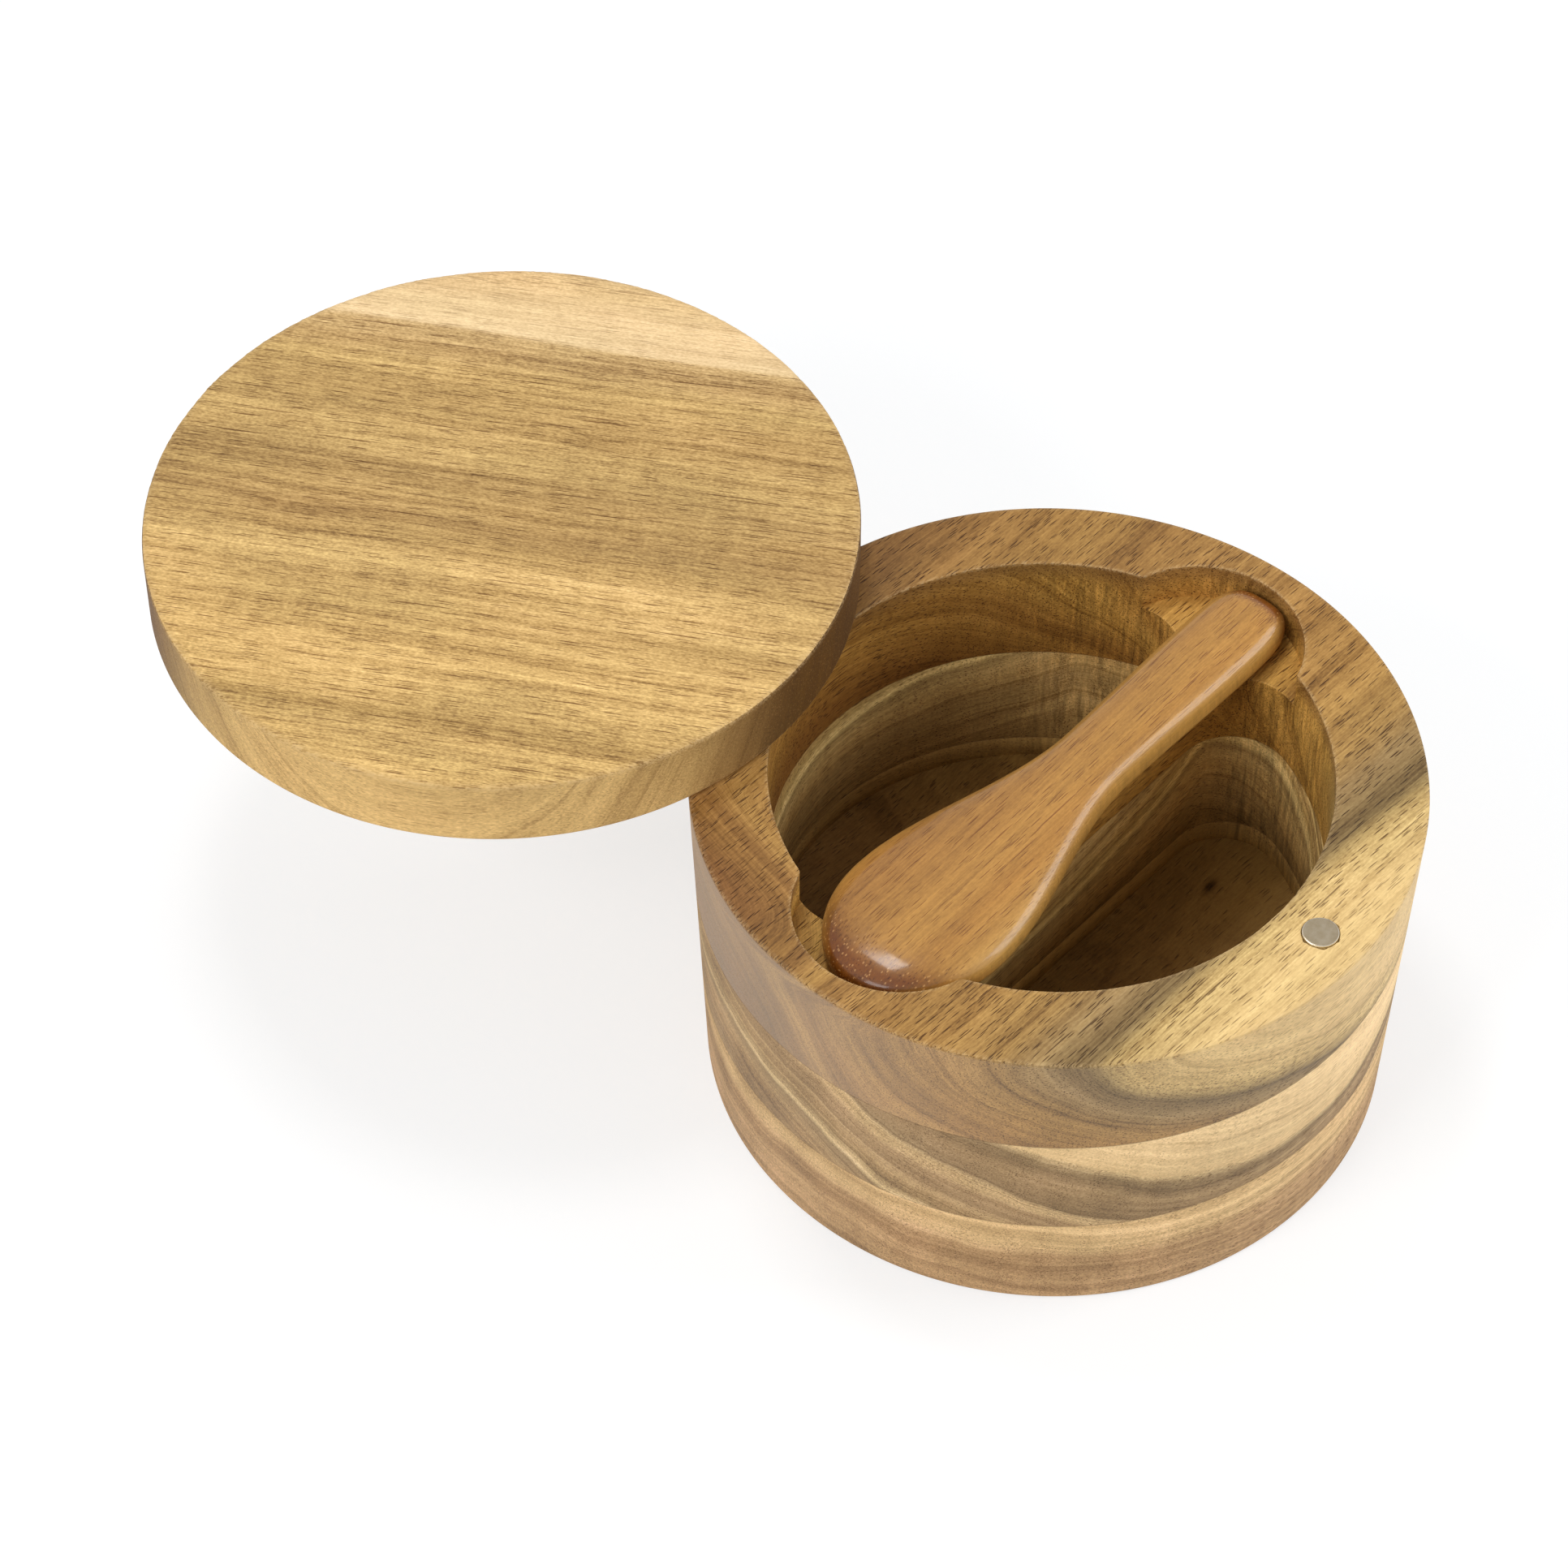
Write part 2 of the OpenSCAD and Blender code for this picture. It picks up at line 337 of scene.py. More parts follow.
def acacia(name, grain, figure, bands, *, wander, streak, contrast, veins, pores, pore_l, pore_w,
           sand=0.5, pore_tone=0.3, threads=0.5, shine=0.55, coat=0.0, end_from=0.55, end_to=0.95,
           end_tint=(0.92, 0.90, 0.87), end_specks=0.06, side_tone=0.15,
           side_colour=(0.61, 0.49, 0.37, 1), side_contrast=0.4, hatch=0.0, knots=()):
    """Oiled acacia. The grain runs at an angle from +X, figure gives the place among the growth
    rings in millimetres from the place along, across and up, and bands colours those places.

    Wander is how far the fibres stray and streak how broad the streaks are, in millimetres. Contrast,
    veins and sand are the strengths of the pattern, of its dark lines and of its grit. Pores is the
    share of open vessels, with their length, width and tone, and threads the share of long ones. The
    end values are for wood cut across its grain. The side values blend paler the wood that is marked
    for a dried finish and a painted sheen, and they give a painted highlight on the spoon's flanks.
    Hatch is how strongly the cutter marked that wood. Shine is the wood's roughness and coat the
    share of gloss on it. Each knot is its place along and across, its radius, its push on the rings
    and its darkness."""
    material, shader, place, facing = new_finish(name)
    turned = place.node("ShaderNodeMapping", {"Vector": place, "Rotation": (0, 0, -math.radians(grain)),
                                              "Scale": (1 / MM, 1 / MM, 1 / MM)})

    def mark(label):
        """One of the marks that new_wood gives each point."""
        return place.node("ShaderNodeAttribute", output="Fac", attribute_name=label)

    # The fibres wander a little, so no line in the wood is quite straight
    drift = turned.stretch(*drift_size).clouds(4.0, 0.45, output="Color")
    grown = turned.vector("ADD", turned, drift.times((0, wander, wander)))
    along, across, up = grown.parts()
    gloom = 0.0
    for knot_along, knot_across, knot_r, push, dark in knots:
        far_along = (along - knot_along) / (knot_length * knot_r)
        far_across = (across - knot_across) / knot_r
        near = 0 - far_along * far_along - far_across * far_across
        near = near.math("EXPONENT", near)
        across = across + push * near
        gloom = near * dark + gloom
    q = figure(along, across, up)

    def ringed(length, width, height, detail, roughness):
        """Noise that follows the growth rings."""
        return q.triple(along / length, q / width, up / height).clouds(detail, roughness)

    # Broad streaks, hairlines and smoky veins follow the rings, and the rest only the grain
    broad = ringed(broad_l, streak, broad_h, 5.0, 0.62)
    hair = ringed(*hair_size, 3.0, 0.6)
    smoke = ringed(*smoke_size, 4.0, 0.68)
    fibre = grown.stretch(*fibre_size).clouds(2.0, 0.6)
    grit = grown.stretch(*grit_size).clouds(1.0, 0.5)
    ripple = grown.stretch(*ripple_size).clouds(2.0, 0.6)
    patch = grown.stretch(*patch_size).clouds(2.0, 0.5)
    first, last = bands[0][0], bands[-1][0]
    band = (q + broad * (streak * 1.4) - first) / (last - first)
    colour = q.node("ShaderNodeValToRGB", {0: band},
                    stops=[((start - first) / (last - first), tint) for start, tint in bands])
    dry = mark("dry")
    tone = broad * 1.1 + hair * 0.7 + fibre * 0.75 + grit * sand + ripple * 0.3 + patch * 0.5
    # Pale sapwood is plainer than heartwood
    sapwood = colour.node("ShaderNodeSeparateColor", {0: colour}).rise(0.66, 0.82)
    plain = 1 - sapwood * 0.5
    tone = 1 + tone * contrast * (1 + dry * side_contrast) * plain
    tone = (tone - (smoke + hair * 0.3).rise(0.07, 0.17) * veins * plain - gloom).least(0.1)
    # Darker wood is also redder, and here and there it turns warm or olive
    colour = colour.times(tone.triple(tone * (1 + patch * 0.1), tone ** 1.18,
                                      tone ** (1.43 + patch * 0.6)))

    def vessels(length, width, size, share, seed):
        """Open vessels, as spots that are drawn out along the grain, over a share of the wood."""
        cells = grown.vector("ADD", grown.stretch(length, width, width), (seed, seed, seed))
        cells = cells.node("ShaderNodeTexVoronoi", {"Vector": cells, "Scale": 1.0}, "Distance")
        chance = cells.node("ShaderNodeSeparateColor", {0: cells.also("Color")})
        picked = (share + broad * 0.9 + patch * 0.7 - chance).rise(0.0, 0.15)
        return (1 - cells.rise(size * 0.6, size)) * picked

    dashes = vessels(pore_l, pore_w, 0.33, pores, 3.1)
    hairs = vessels(40.0, 0.9, 0.17, threads, 7.7)
    marks = dashes.math("MAXIMUM", dashes, hairs * 0.85) * plain
    # Wood cut across its grain soaks up more oil, and its vessels show there as small pale specks
    grain_run = (math.cos(math.radians(grain)), math.sin(math.radians(grain)), 0)
    end = facing.vector("DOT_PRODUCT", facing, grain_run, output="Value")
    end = end.math("ABSOLUTE", end).rise(end_from, end_to)
    colour = end.blend(colour, colour.times(end_tint))
    dark = colour.times([pore_tone * part for part in pore_shade])
    colour = (marks * (1 - dry * 0.55)).blend(colour, dark)
    specks = vessels(1.2, 0.55, 0.3, pores + 0.2, 5.3)
    pale = colour.vector("ADD", colour, [end_specks * part for part in speck_colour])
    colour = (specks * end).blend(colour, pale)
    # Wood marked dried is blended paler towards side_colour: a dried finish together with a painted
    # sheen, and a painted highlight on the spoon's flanks
    colour = (dry * side_tone).blend(colour, side_colour)
    # The cutter leaves upright marks in the wells, most of all where it crosses the grain
    upright = facing.parts()[2]
    upright = 1 - upright.math("ABSOLUTE", upright).rise(0.2, 0.7)
    cuts = turned.stretch(*cut_size).clouds(3.0, 0.68) * upright
    deep = mark("deep")
    inside = deep.rise(0.01, 0.1)
    strokes = 1 + cuts * (inside * (end * 2.2 + 0.3) + dry * hatch)
    colour = colour.times(strokes.triple(strokes, strokes, strokes))
    # The wells' walls get painted light near the rim and painted shade that deepens towards their foot
    colour = inside.blend(colour, colour.times(well_painted_light_tint))
    colour = (deep.most(1.0) ** 2.4).blend(colour, colour.times(well_painted_shade_tint))
    # Edges are frayed and pale, and a glue joint is a dark hairline
    frayed = mark("worn") * (grit + fibre + 0.42).rise(0.25, 0.6)
    colour = (frayed * 0.5).blend(colour, frayed_colour)
    colour = (mark("seam") * 0.5).blend(colour, glue_colour)
    rough = shine + marks * 0.2 + fibre * 0.25 + frayed * 0.2
    height = fibre * 0.35 + grit * 0.2 - marks * 0.8 + frayed * 0.5 + cuts * 0.3
    relief = height.node("ShaderNodeBump", {"Height": height, "Strength": 0.4,
                                            "Distance": relief_height * MM})
    colour.feed(shader, "Base Color")
    rough.feed(shader, "Roughness")
    relief.feed(shader, "Normal")
    shader.inputs["Specular IOR Level"].default_value = 0.25
    shader.inputs["Coat Weight"].default_value = coat
    shader.inputs["Coat Roughness"].default_value = finish_gloss
    return material


def base_figure(along, across, up):
    """Flat rings that lie nearly level and rise towards the catch."""
    lean_across, lean_along = 0.05, 0.04
    return up - across * lean_across + along * lean_along


base_wood = acacia("base_board_acacia", -4, base_figure, [
    (-8, (0.60, 0.375, 0.18)),
    (2, (0.58, 0.36, 0.17)),
    (8, (0.48, 0.29, 0.13)),
    (12.5, (0.54, 0.335, 0.155)),
    (15, (0.70, 0.47, 0.22)),
    (21, (0.76, 0.51, 0.24)),
    (27, (0.54, 0.34, 0.15))],
    wander=9.0, streak=4.0, contrast=1.2, veins=0.3, pores=0.6, pore_l=4.0, pore_w=0.3,
    knots=[(31.8, -9.7, 0.9, 1.2, 0.8)])

board_count = 640
dry_side = math.radians(130)
dry_all_round = 0.2
# The outside is marked paler all round for its dried finish and a painted sheen, and the side towards the
# bowl's end and the pin is marked paler than the rest as a stronger painted sheen
dryness = [max(0.0, math.cos(math.tau * i / board_count - dry_side)) ** 1.5 for i in range(board_count)]
dryness = [dry_all_round + (1 - dry_all_round) * d for d in dryness]
seam_depth = 0.05
seam_height = 0.18
rounding = 0.3
edge_band = 0.3
wells = [well_outline(-1), well_outline(1)]
outer = circle_outline((0, 0), 1.0, board_count)


def turned_ring(mesh, z, inset=0.0, dry=1.0, **marks):
    """A row of vertices round the outside of the box."""
    outline = [p * (body_r(z) - inset) for p in outer]
    return ring(mesh, outline, z, dry=[dry * d for d in dryness], **marks)


board = new_wood()
skin(board, turned_ring(board, 0, foot_bevel),
     turned_ring(board, foot_bevel * rounding, foot_bevel * rounding, worn=0.6),
     turned_ring(board, foot_bevel),
     turned_ring(board, middle_z - seam_height),
     turned_ring(board, middle_z, seam_depth, seam=1.0))
cap(board, 0)
for outline in wells:
    skin(board, well_ring(board, outline, floor_z),
         well_ring(board, outline, middle_z - seam_height),
         well_ring(board, outline, middle_z, seam_depth, seam=1.0))
    cap(board, floor_z)
cap(board, middle_z)
finished(board, "board_base", base_wood, "box", "base_board")


# The middle board is a plain ring of acacia between the other two, with both wells
# milled right through it. It has its own piece of the tree, so its figure doesn't match.
pin_foot_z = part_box("pivot_pin")[0].z / MM
swivel_wall = 7.8
swivel_r = rim_r - swivel_wall
pin_r = 2.5
pin_fit = 0.02
bore_count = 96


def middle_figure(along, across, up):
    """Rings that climb towards the catch and lie flatter towards the pin, with a dark band that
    narrows towards the handle's side."""
    offset, pin_slope, climb, pin_climb, band_end = 29, 0.35, 2.0, 0.5, 20.0
    q = across.most(0.0) + across.least(0.0) * pin_slope + offset
    q = q + (top_z - up) * (climb + across.rise(-5, 25) * pin_climb)
    dark = q.most(band_end)
    narrowing = (1.9 - along * 0.037).least(0.5).most(2.4)
    return dark / narrowing + (q - dark)


middle_wood = acacia("middle_board_acacia", -3, middle_figure, [
    (-26, (0.90, 0.64, 0.33)),
    (-8, (0.92, 0.66, 0.34)),
    (-1.5, (0.84, 0.59, 0.29)),
    (0.8, (0.28, 0.18, 0.08)),
    (5, (0.36, 0.225, 0.10)),
    (10, (0.26, 0.16, 0.068)),
    (12, (0.70, 0.49, 0.24)),
    (16, (0.62, 0.42, 0.20)),
    (19, (0.42, 0.265, 0.12)),
    (26, (0.36, 0.225, 0.10)),
    (33, (0.50, 0.325, 0.145)),
    (38, (0.40, 0.26, 0.11)),
    (40.5, (0.70, 0.50, 0.25)),
    (44, (0.66, 0.47, 0.23)),
    (47, (0.34, 0.22, 0.10)),
    (60, (0.50, 0.32, 0.145)),
    (72, (0.36, 0.225, 0.10)),
    (90, (0.52, 0.34, 0.16))],
    wander=9.0, streak=4.5, contrast=1.25, veins=0.35, pores=0.6, pore_l=4.0, pore_w=0.3)

board = new_wood()
skin(board, turned_ring(board, middle_z, seam_depth, seam=1.0),
     turned_ring(board, middle_z + seam_height),
     turned_ring(board, top_z - seam_height),
     turned_ring(board, top_z, seam_depth, seam=1.0))
for outline in wells:
    skin(board, well_ring(board, outline, middle_z, seam_depth, seam=1.0),
         well_ring(board, outline, middle_z + seam_height),
         well_ring(board, outline, top_z - seam_height),
         well_ring(board, outline, top_z, seam_depth, seam=1.0))
pin_round = circle_outline((0, swivel_r), pin_r + pin_fit, bore_count)
skin(board, ring(board, pin_round, pin_foot_z), ring(board, pin_round, top_z))
for level in (middle_z, pin_foot_z, top_z):
    cap(board, level)
finished(board, "board_middle", middle_wood, "box", "middle_board")


# The top board carries the rim. A round recess with a pocket at each end is milled into it
# for the spoon, and holes are drilled for the catch magnet and for the pin under the lid.
ledge_depth = 7.4
ledge_z = rim_z - ledge_depth
pocket_wall = 4.6
pockets_shift = 0.5
handle_pocket_r = 17.0
handle_corner_r = 0.6
bowl_pocket_r = 17.2
bowl_corner_r = 1.8
pocket_step = 0.15
rim_bevel = 0.4
recess_chip = 0.36
divider_chip = 0.4
rim_band = 0.6
recess_band = 0.5
recess_lip = 0.4
magnet_hole_r = 3.1
magnet_hole_depth = 2.7
hole_band = 0.12
hole_lip = 0.2
hole_chip = 0.5


class Pocket:
    """The recess's edge round a pocket and its two rounded corners, counter-clockwise, and the
    angles at which it leaves and meets the wells' round."""

    def __init__(self, radius, corner_r, facing, shift):
        reach = rim_r - pocket_wall - radius
        x = ((wells_r + corner_r) ** 2 - (radius + corner_r) ** 2 + reach ** 2) / (2 * reach)
        y = math.sqrt((wells_r + corner_r) ** 2 - x * x)
        leave = math.degrees(math.atan2(y, x))
        meet = math.degrees(math.atan2(y, x - reach))
        turn = facing + math.degrees(math.asin(shift / reach))
        points = (arc((x, -y), corner_r, 180 - leave, 180 - meet, step=pocket_step)
                  + arc((reach, 0), radius, -meet, meet)
                  + arc((x, y), corner_r, 180 + meet, 180 + leave, step=pocket_step))
        c, s = math.cos(math.radians(turn)), math.sin(math.radians(turn))
        self.edge = [Vector((p.x * c - p.y * s, p.x * s + p.y * c)) for p in points]
        self.start, self.end = turn - leave, turn + leave


handle_pocket = Pocket(handle_pocket_r, handle_corner_r, 0, -pockets_shift)
bowl_pocket = Pocket(bowl_pocket_r, bowl_corner_r, 180, pockets_shift)
# On each side the wells' wall and the recess's are one from the first angle to the second
far_wall = (max(handle_pocket.end, corner_turn), min(bowl_pocket.start, 180 - corner_turn))
near_wall = (max(bowl_pocket.end, 180 + corner_turn), min(360 + handle_pocket.start, 360 - corner_turn))
recess = on_wells(handle_pocket.edge
                  + arc((0, 0), wells_r, handle_pocket.end, *far_wall, bowl_pocket.start)
                  + bowl_pocket.edge
                  + arc((0, 0), wells_r, bowl_pocket.end, *near_wall, 360 + handle_pocket.start))


def top_figure(along, across, up):
    """Rings that curve under the rim at the catch, so that its pale sapwood wraps that side, lie flat
    towards the pin and, on the rim's top at the bowl's end, shift to dark red-brown bands that are
    partly the wood's own colour and partly a painted shadow of the lid."""
    offset, slope, curve, red_and_shadow_top, red_and_shadow_lost = 44, 0.15, 0.045, 70, 42
    down = rim_z - up
    twist = down * (along + 10).least(0.0) * 0.019
    flat = down * across.rise(-8, 22) * 1.6
    red_and_shadow_shift = red_and_shadow_top - down.rise(0.3, 4.0) * red_and_shadow_lost
    # Dark red-brown bands on the rim's top at the bowl's end: partly the wood's colour, partly a painted
    # shadow of the lid
    red_and_lid_shadow = (0 - along).rise(36, 56) * across.rise(-18, 18) * red_and_shadow_shift
    return across + offset + down * slope + down * down * curve - twist + flat + red_and_lid_shadow


top_wood = acacia("top_board_acacia", -3, top_figure, [
    (-20, (0.83, 0.58, 0.26)),
    (-8, (0.77, 0.535, 0.225)),
    (-3, (0.68, 0.47, 0.185)),
    (-0.5, (0.44, 0.295, 0.11)),
    (1.5, (0.22, 0.142, 0.054)),
    (8, (0.30, 0.187, 0.072)),
    (13, (0.39, 0.222, 0.066)),
    (22, (0.42, 0.228, 0.062)),
    (34, (0.36, 0.185, 0.048)),
    (50, (0.40, 0.213, 0.060)),
    (66, (0.34, 0.172, 0.046)),
    (80, (0.39, 0.210, 0.056)),
    (96, (0.27, 0.130, 0.034)),
    (110, (0.29, 0.142, 0.036)),
    (136, (0.20, 0.085, 0.022))],
    wander=6.0, streak=4.5, contrast=1.15, veins=0.35, pores=1.1, pore_l=4.6, pore_w=0.32,
    pore_tone=0.24, threads=1.0, shine=0.5, side_tone=0.52)


def chipped(outline, size, seed):
    """How far the broken fibres of a milled edge reach, along an outline. It varies slowly, with
    small chips between."""
    return [size * (0.55 + 0.35 * ruffle(p, 5.0, seed) + 0.5 * max(0.0, ruffle(p, 0.9, seed + 9) - 0.1))
            for p in outline]


board = new_wood()
skin(board, turned_ring(board, top_z, seam_depth, seam=1.0),
     turned_ring(board, top_z + seam_height),
     turned_ring(board, rim_z - rim_bevel - edge_band),
     turned_ring(board, rim_z - rim_bevel, dry=0.5, worn=0.5),
     turned_ring(board, rim_z - rim_bevel * rounding, rim_bevel * rounding, dry=0.0, worn=0.8),
     turned_ring(board, rim_z, rim_bevel, dry=0.0, worn=0.4),
     turned_ring(board, rim_z, rim_bevel + rim_band, dry=0.0))
chips = chipped(recess, recess_chip, 2.0)
skin(board, well_ring(board, recess, ledge_z),
     well_ring(board, recess, [rim_z - c - recess_lip for c in chips]),
     ring(board, recess, [rim_z - c for c in chips], worn=0.7),
     ring(board, recess, [rim_z - c * rounding for c in chips], [c * rounding for c in chips],
          worn=1.0),
     ring(board, recess, rim_z, chips, worn=0.6),
     ring(board, recess, rim_z, [c + recess_band for c in chips]))
wells_middle = Vector((0, wells_shift))
for side, shared in ((-1, near_wall), (1, [angle + 180 for angle in far_wall])):
    outline = well_outline(side, *shared)
    # The edge is chipped along the divider, and there is none where the wall runs on to the rim
    free = [min(1.0, max(0.0, wells_r - 0.001 - (p - wells_middle).length)) for p in outline]
    chips = [c * f for c, f in zip(chipped(outline, divider_chip, 5.0), free)]
    skin(board, well_ring(board, outline, top_z, seam_depth, seam=1.0),
         well_ring(board, outline, top_z + seam_height),
         well_ring(board, outline, [ledge_z - c - edge_band * f for c, f in zip(chips, free)]),
         well_ring(board, outline, [ledge_z - c for c in chips]),
         well_ring(board, outline, [ledge_z - c * rounding for c in chips],
                   [c * rounding for c in chips]),
         well_ring(board, outline, ledge_z, chips),
         well_ring(board, outline, ledge_z, [c + edge_band * f for c, f in zip(chips, free)]))
bmesh.ops.remove_doubles(board, verts=board.verts, dist=0.002)
for place, radius, depth in (((0, -swivel_r), magnet_hole_r, magnet_hole_depth),
                             ((0, swivel_r), pin_r + pin_fit, rim_z - top_z)):
    outline = circle_outline(place, radius, bore_count)
    ragged = [0.01 + hole_chip * max(0.0, ruffle(p, 1.1, 4.0)) for p in outline]
    skin(board, ring(board, outline, rim_z - depth),
         ring(board, outline, [rim_z - hole_lip - r for r in ragged]),
         ring(board, outline, rim_z, ragged, seam=0.7),
         ring(board, outline, rim_z, [r + hole_band for r in ragged]))
for level in (top_z, rim_z - magnet_hole_depth, ledge_z, rim_z):
    cap(board, level)
finished(board, "board_top", top_wood, "box", "top_board")


# The catch magnet is a nickel-plated disc pressed into the rim, standing a hair proud of the
# wood. Its top is rougher and painted a dark warm colour as a painted dim reflection, and its
# bevelled edge is bright.
magnet_r = 3.0
magnet_bevel = 0.2
magnet_band = 0.15
lathe_count = 128
blotch_size = (1.6, 1.6, 1.6)
scratch_size = (0.05, 1.2, 1.2)
scratch_depth = 0.05


def lathe(middle, profile):
    """A solid of revolution about an upright axis, from radius and height pairs. Both ends close."""
    mesh = bmesh.new()
    skin(mesh, *[ring(mesh, circle_outline(middle, r, lathe_count), z) for r, z in profile])
    cap(mesh, profile[0][1])
    cap(mesh, profile[-1][1])
    return mesh


def metal(name, bright, flat_reflection_colour, rough):
    """Plated or drawn metal with fine scratches. Its flat ends are rougher and painted a darker
    colour as a painted dim reflection, and the rest is bright.
    """
    material, shader, place, facing = new_finish(name)
    sized = place.stretch(MM, MM, MM)
    blotch = sized.stretch(*blotch_size).clouds(3.0, 0.6)
    scratch = sized.stretch(*scratch_size).clouds(2.0, 0.6)
    flat = facing.parts()[2]
    flat = flat.math("ABSOLUTE", flat).rise(0.9, 0.995)
    colour = (flat * 0.95 + blotch * 0.4).blend((*bright, 1), (*flat_reflection_colour, 1))
    height = scratch + blotch * 0.5
    relief = height.node("ShaderNodeBump", {"Height": height, "Strength": 0.12,
                                            "Distance": scratch_depth * MM})
    colour.feed(shader, "Base Color")
    (rough + flat * 0.2 + scratch * 0.2).feed(shader, "Roughness")
    relief.feed(shader, "Normal")
    shader.inputs["Metallic"].default_value = 1.0
    return material


# The nickel's flat faces take a dark warm colour, a painted dim reflection
nickel = metal("nickel_plating", (0.72, 0.68, 0.60), (0.29, 0.235, 0.155), 0.2)


def disc_magnet(place, low, high):
    """A disc magnet with its edges rounded off, between two corners of its box."""
    z0, z1 = low.z / MM, high.z / MM
    soft = magnet_bevel * rounding
    face_r = magnet_r - magnet_bevel
    return lathe(place, [(face_r, z0), (magnet_r - soft, z0 + soft), (magnet_r, z0 + magnet_bevel),
                         (magnet_r, z1 - magnet_bevel), (magnet_r - soft, z1 - soft), (face_r, z1),
                         (face_r - magnet_band, z1)])


finished(disc_magnet((0, -swivel_r), *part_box("catch_magnet")), "magnet_catch", nickel, "box",
         "catch_magnet")


# The pivot pin is a length of drawn steel rod driven down through the top board. The lid
# turns on it and rests on its rounded end.
steel = metal("drawn_steel", (0.72, 0.72, 0.73), (0.66, 0.66, 0.67), 0.22)
pin_top_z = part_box("pivot_pin")[1].z / MM
pin_bevel = 0.4
dome_in, dome_down = 0.12, 0.1
pin = lathe((0, swivel_r), [(pin_r - pin_bevel, pin_foot_z), (pin_r, pin_foot_z + pin_bevel),
                            (pin_r, pin_top_z - pin_bevel), (pin_r - dome_in, pin_top_z - dome_down),
                            (pin_r - pin_bevel, pin_top_z)])
finished(pin, "rod_pivot", steel, "box", "pivot_pin")


# The lid is one flat disc of acacia with its edges just broken by sanding. It is drawn
# where the photograph shows it, swung open about the pin.
lid_low, lid_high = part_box("lid_board")
lid_middle = Vector(((lid_low.x + lid_high.x) / 2 / MM, (lid_low.y + lid_high.y) / 2 / MM))
lid_z, lid_top = lid_low.z / MM, lid_high.z / MM
lid_inset = 0.5
lid_r = rim_r - lid_inset
lid_bevel = 0.6
lid_foot_band, lid_top_band = 0.5, 0.8
sanding = 1.4
lid_open = 153.0
lid_grain = -61.0
pin_hole_r = 2.55
pin_hole_h = 8.0
lid_magnet_h = 3.0
lid_run = Vector((math.cos(math.radians(lid_grain)), math.sin(math.radians(lid_grain))))
lid_across = lid_middle.dot(Vector((-lid_run.y, lid_run.x)))
lid_along = lid_middle.dot(lid_run)


def lid_figure(along, across, up):
    """Upright rings that run almost straight across the disc, measured from its middle."""
    lean_along, lean_up = 0.022, 0.35
    return across - lid_across + (along - lid_along) * lean_along + (lid_top - up) * lean_up


lid_wood = acacia("lid_acacia", lid_grain, lid_figure, [
    (-62, (0.64, 0.41, 0.145)),
    (-50, (0.7, 0.455, 0.165)),
    (-46.5, (0.54, 0.34, 0.115)),
    (-42, (0.679, 0.441, 0.16)),
    (-32, (0.64, 0.407, 0.145)),
    (-22, (0.582, 0.369, 0.131)),
    (-14, (0.679, 0.441, 0.165)),
    (-8, (0.563, 0.354, 0.126)),
    (-3, (0.456, 0.276, 0.097)),
    (2, (0.521, 0.326, 0.116)),
    (7, (0.465, 0.288, 0.102)),
    (14, (0.605, 0.391, 0.144)),
    (24, (0.521, 0.326, 0.116)),
    (32, (0.605, 0.391, 0.144)),
    (37, (0.56, 0.355, 0.14)),
    (41.2, (0.62, 0.41, 0.175)),
    (42.6, (0.856, 0.623, 0.335)),
    (50, (0.837, 0.595, 0.307)),
    (57, (0.744, 0.502, 0.233)),
    (64, (0.818, 0.577, 0.298))],
    wander=2.5, streak=2.8, contrast=1.0, veins=0.22, sand=1.1, pores=0.75, pore_l=7.0, pore_w=0.26,
    pore_tone=0.36, threads=1.1, shine=0.6, end_tint=(0.20, 0.13, 0.03), end_specks=0.1,
    side_tone=0.03, side_contrast=-0.4,
    knots=[(lid_along + 12.8, lid_across + 21.2, 2.6, 1.5, 0.22),
           (lid_along - 34, lid_across - 4, 5.0, 2.0, 0.15),
           (lid_along + 8.2, lid_across - 3.0, 6.0, 1.0, 0.10)])

lid = new_wood()
lid_outline = [p * lid_r for p in outer]


def lid_ring(z, out=0.0, dry=1.0, **marks):
    """A row of vertices round the lid, at one height and reach or at many."""
    return ring(lid, [lid_middle + p for p in lid_outline], z, out, dry=dry, **marks)


# The sanding has taken a little more off the upper edge in some places than in others
uneven = [lid_bevel * (0.85 + 0.3 * ruffle(p, 7.0, 1.0) + 0.3 * ruffle(p, 0.8, 6.0))
          for p in lid_outline]
skin(lid, lid_ring(lid_z, -lid_bevel - lid_foot_band, dry=0.0),
     lid_ring(lid_z, -lid_bevel, worn=0.4),
     lid_ring(lid_z + lid_bevel * rounding, -lid_bevel * rounding, worn=0.8),
     lid_ring(lid_z + lid_bevel, worn=0.3),
     lid_ring(lid_z + lid_bevel + edge_band),
     lid_ring(lid_top - lid_bevel * sanding - edge_band),
     lid_ring([lid_top - u for u in uneven], worn=0.7),
     lid_ring([lid_top - u * rounding for u in uneven], [-u * rounding for u in uneven],
              dry=0.5, worn=1.0),
     lid_ring(lid_top, [-u for u in uneven], dry=0.0, worn=0.5),
     lid_ring(lid_top, -lid_bevel - lid_top_band, dry=0.0))
open_turn = math.radians(lid_open)
magnet_place = Vector((0, swivel_r)) - 2 * swivel_r * Vector((math.sin(open_turn), math.cos(open_turn)))
for place, radius, depth in (((0, swivel_r), pin_hole_r, pin_hole_h),
                             (magnet_place, magnet_hole_r, lid_magnet_h)):
    outline = circle_outline(place, radius, bore_count)
    skin(lid, ring(lid, outline, lid_z, worn=0.3), ring(lid, outline, lid_z + depth))
    cap(lid, lid_z + depth)
cap(lid, lid_z)
cap(lid, lid_top)
finished(lid, "disc_lid", lid_wood, "lid", "lid_board")


